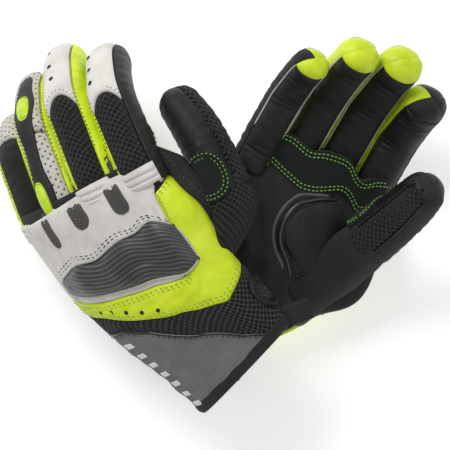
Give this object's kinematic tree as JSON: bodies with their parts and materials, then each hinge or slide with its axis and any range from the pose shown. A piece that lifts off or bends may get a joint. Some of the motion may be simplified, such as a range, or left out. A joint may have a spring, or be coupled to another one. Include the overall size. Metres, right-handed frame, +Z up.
{
  "type": "riding gloves",
  "caption": "Pair of short-cuff riding gloves with a hard knuckle guard, leather and mesh panels, stretch knuckles, hinged fingers and thumbs, and a wrist strap on each.",
  "frame": {"origin": "middle of the pair's footprint, on the floor it lies on", "axes": "+Z up from the floor, +X from the left glove to the right glove, +Y towards the fingertips; the left glove lies palm down on the cuff of the right glove, which lies palm up"},
  "size_m": [0.2508, 0.2056, 0.1066],
  "materials": {
    "white_leather": "fine grain, matt",
    "neon_leather": "fine grain, satin",
    "black_leather": "fine grain, satin",
    "suede": "brushed suede",
    "air_mesh": "open three-dimensional knit",
    "twill": "diagonal twill weave",
    "binding": "folded tape",
    "lining": "brushed tricot",
    "ribbed_knit": "diagonal ribs",
    "black_textile": "plain weave",
    "guard_shell": "woven carbon pattern, semi-gloss",
    "foam": "closed-cell foam",
    "insert_rubber": "moulded, satin",
    "loop_pile": "loop pile",
    "hook_tape": "moulded hooks"
  },
  "bodies": {
    "left_hand": {"left_back_panel": "white_leather", "left_side_panel": "neon_leather", "left_knuckle_guard": "guard_shell", "left_guard_foam": "foam", "left_palm_panel": "black_leather", "left_palm_patch": "suede", "left_wrist_mesh": "air_mesh", "left_cuff": "twill", "left_cuff_binding": "binding", "left_cuff_lining": "lining", "left_knuckle_stretch": "white_leather", "left_finger_gussets": "ribbed_knit", "left_loop_pad": "loop_pile", "left_thumb_gusset": "air_mesh"},
    "left_strap": {"left_wrist_strap": "black_leather", "left_hook_pad": "hook_tape"},
    "left_index_base": {"left_index_proximal": "neon_leather"},
    "left_index_tip": {"left_index_distal": "black_leather"},
    "left_middle_base": {"left_middle_proximal": "neon_leather"},
    "left_middle_tip": {"left_middle_distal": "neon_leather"},
    "left_ring_base": {"left_ring_proximal": "neon_leather", "left_ring_slider": "black_leather", "left_slider_insert_lower": "insert_rubber"},
    "left_ring_tip": {"left_ring_distal": "neon_leather", "left_slider_insert_upper": "insert_rubber"},
    "left_pinky_base": {"left_pinky_proximal": "black_textile"},
    "left_pinky_tip": {"left_pinky_distal": "neon_leather"},
    "left_thumb_base": {"left_thumb_base": "black_leather", "left_thumb_patch": "suede"},
    "left_thumb_tip": {"left_thumb_tip": "black_leather"},
    "right_hand": {"right_back_panel": "white_leather", "right_side_panel": "neon_leather", "right_knuckle_guard": "guard_shell", "right_guard_foam": "foam", "right_palm_panel": "black_leather", "right_palm_patch": "suede", "right_wrist_mesh": "air_mesh", "right_cuff": "twill", "right_cuff_binding": "binding", "right_cuff_lining": "lining", "right_knuckle_stretch": "white_leather", "right_finger_gussets": "ribbed_knit", "right_loop_pad": "loop_pile", "right_thumb_gusset": "air_mesh"},
    "right_strap": {"right_wrist_strap": "black_leather", "right_hook_pad": "hook_tape"},
    "right_index_base": {"right_index_proximal": "neon_leather"},
    "right_index_tip": {"right_index_distal": "black_leather"},
    "right_middle_base": {"right_middle_proximal": "neon_leather"},
    "right_middle_tip": {"right_middle_distal": "neon_leather"},
    "right_ring_base": {"right_ring_proximal": "neon_leather", "right_ring_slider": "black_leather", "right_slider_insert_lower": "insert_rubber"},
    "right_ring_tip": {"right_ring_distal": "neon_leather", "right_slider_insert_upper": "insert_rubber"},
    "right_pinky_base": {"right_pinky_proximal": "black_textile"},
    "right_pinky_tip": {"right_pinky_distal": "neon_leather"},
    "right_thumb_base": {"right_thumb_base": "black_leather", "right_thumb_patch": "suede"},
    "right_thumb_tip": {"right_thumb_tip": "black_leather"}
  },
  "joints": [
    {"name": "left_glove_lift", "type": "slide", "parent": "right_hand", "child": "left_hand", "axis": [0, 0, 1], "range_m": [0, 0.2]},
    {"name": "left_index_knuckle", "type": "hinge", "parent": "left_hand", "child": "left_index_base", "pos_m": [-0.04444, 0.03447, 0.09193], "axis": [-0.8398, -0.4568, -0.2933], "range_deg": [-22, 18], "stiffness_Nm_per_rad": 0.06, "deforming": ["left_knuckle_stretch", "left_finger_gussets"]},
    {"name": "left_index_middle_joint", "type": "hinge", "parent": "left_index_base", "child": "left_index_tip", "pos_m": [-0.06006, 0.07086, 0.08], "axis": [-0.8398, -0.4568, -0.2933], "range_deg": [-24, 26], "stiffness_Nm_per_rad": 0.05},
    {"name": "left_middle_knuckle", "type": "hinge", "parent": "left_hand", "child": "left_middle_base", "pos_m": [-0.06827, 0.0272, 0.08187], "axis": [-0.8527, -0.4342, -0.2904], "range_deg": [-22, 36], "stiffness_Nm_per_rad": 0.06, "deforming": ["left_knuckle_stretch", "left_finger_gussets"]},
    {"name": "left_middle_middle_joint", "type": "hinge", "parent": "left_middle_base", "child": "left_middle_tip", "pos_m": [-0.08507, 0.06905, 0.06865], "axis": [-0.8527, -0.4342, -0.2904], "range_deg": [-24, 34], "stiffness_Nm_per_rad": 0.05},
    {"name": "left_ring_knuckle", "type": "hinge", "parent": "left_hand", "child": "left_ring_base", "pos_m": [-0.0874, 0.01603, 0.06868], "axis": [-0.8527, -0.4342, -0.2904], "range_deg": [-22, 36], "stiffness_Nm_per_rad": 0.06, "deforming": ["left_knuckle_stretch", "left_finger_gussets"]},
    {"name": "left_ring_middle_joint", "type": "hinge", "parent": "left_ring_base", "child": "left_ring_tip", "pos_m": [-0.10304, 0.05495, 0.05638], "axis": [-0.8527, -0.4342, -0.2904], "range_deg": [-24, 34], "stiffness_Nm_per_rad": 0.05},
    {"name": "left_pinky_knuckle", "type": "hinge", "parent": "left_hand", "child": "left_pinky_base", "pos_m": [-0.10349, 0.00709, 0.05144], "axis": [-0.8527, -0.4342, -0.2904], "range_deg": [-22, 36], "stiffness_Nm_per_rad": 0.06, "deforming": ["left_knuckle_stretch", "left_finger_gussets"]},
    {"name": "left_pinky_middle_joint", "type": "hinge", "parent": "left_pinky_base", "child": "left_pinky_tip", "pos_m": [-0.11609, 0.03848, 0.04152], "axis": [-0.8527, -0.4342, -0.2904], "range_deg": [-24, 34], "stiffness_Nm_per_rad": 0.05},
    {"name": "left_thumb_knuckle", "type": "hinge", "parent": "left_hand", "child": "left_thumb_base", "pos_m": [0.0044, 0.01524, 0.07647], "axis": [-0.7616, -0.3366, 0.5538], "range_deg": [-12, 18], "stiffness_Nm_per_rad": 0.06},
    {"name": "left_thumb_middle_joint", "type": "hinge", "parent": "left_thumb_base", "child": "left_thumb_tip", "pos_m": [-0.00897, 0.0465, 0.07708], "axis": [-0.7616, -0.3366, 0.5538], "range_deg": [-12, 30], "stiffness_Nm_per_rad": 0.05},
    {"name": "left_strap_fold", "type": "hinge", "parent": "left_hand", "child": "left_strap", "pos_m": [-0.01072, -0.07222, 0.04797], "axis": [-0.7259, 0.6876, -0.0148], "range_deg": [0, 16]},
    {"name": "right_index_knuckle", "type": "hinge", "parent": "right_hand", "child": "right_index_base", "pos_m": [0.08181, 0.01706, 0.01932], "axis": [0.8939, -0.3918, -0.218], "range_deg": [-22, 18], "stiffness_Nm_per_rad": 0.06, "deforming": ["right_knuckle_stretch", "right_finger_gussets"]},
    {"name": "right_index_middle_joint", "type": "hinge", "parent": "right_index_base", "child": "right_index_tip", "pos_m": [0.10025, 0.05127, 0.03347], "axis": [0.8939, -0.3918, -0.218], "range_deg": [-24, 26], "stiffness_Nm_per_rad": 0.05},
    {"name": "right_middle_knuckle", "type": "hinge", "parent": "right_hand", "child": "right_middle_base", "pos_m": [0.06077, 0.03119, 0.02826], "axis": [0.8827, -0.4154, -0.2195], "range_deg": [-22, 36], "stiffness_Nm_per_rad": 0.06, "deforming": ["right_knuckle_stretch", "right_finger_gussets"]},
    {"name": "right_middle_middle_joint", "type": "hinge", "parent": "right_middle_base", "child": "right_middle_tip", "pos_m": [0.08277, 0.06959, 0.04407], "axis": [0.8827, -0.4154, -0.2195], "range_deg": [-24, 34], "stiffness_Nm_per_rad": 0.05},
    {"name": "right_ring_knuckle", "type": "hinge", "parent": "right_hand", "child": "right_ring_base", "pos_m": [0.03888, 0.03892, 0.03948], "axis": [0.8827, -0.4154, -0.2195], "range_deg": [-22, 36], "stiffness_Nm_per_rad": 0.06, "deforming": ["right_knuckle_stretch", "right_finger_gussets"]},
    {"name": "right_ring_middle_joint", "type": "hinge", "parent": "right_ring_base", "child": "right_ring_tip", "pos_m": [0.05934, 0.07463, 0.05419], "axis": [0.8827, -0.4154, -0.2195], "range_deg": [-24, 34], "stiffness_Nm_per_rad": 0.05},
    {"name": "right_pinky_knuckle", "type": "hinge", "parent": "right_hand", "child": "right_pinky_base", "pos_m": [0.01998, 0.04493, 0.05505], "axis": [0.8827, -0.4154, -0.2195], "range_deg": [-22, 36], "stiffness_Nm_per_rad": 0.06, "deforming": ["right_knuckle_stretch", "right_finger_gussets"]},
    {"name": "right_pinky_middle_joint", "type": "hinge", "parent": "right_pinky_base", "child": "right_pinky_tip", "pos_m": [0.03648, 0.07373, 0.06691], "axis": [0.8827, -0.4154, -0.2195], "range_deg": [-24, 34], "stiffness_Nm_per_rad": 0.05},
    {"name": "right_thumb_knuckle", "type": "hinge", "parent": "right_hand", "child": "right_thumb_base", "pos_m": [0.08047, -0.01051, 0.04425], "axis": [0.5503, -0.814, 0.1859], "range_deg": [-12, 18], "stiffness_Nm_per_rad": 0.06},
    {"name": "right_thumb_middle_joint", "type": "hinge", "parent": "right_thumb_base", "child": "right_thumb_tip", "pos_m": [0.10047, 0.00772, 0.06483], "axis": [0.5503, -0.814, 0.1859], "range_deg": [-12, 30], "stiffness_Nm_per_rad": 0.05},
    {"name": "right_strap_fold", "type": "hinge", "parent": "right_hand", "child": "right_strap", "pos_m": [-0.027, -0.04776, 0.03773], "axis": [-0.6874, -0.698, -0.2005], "range_deg": [0, 16]}
  ]
}
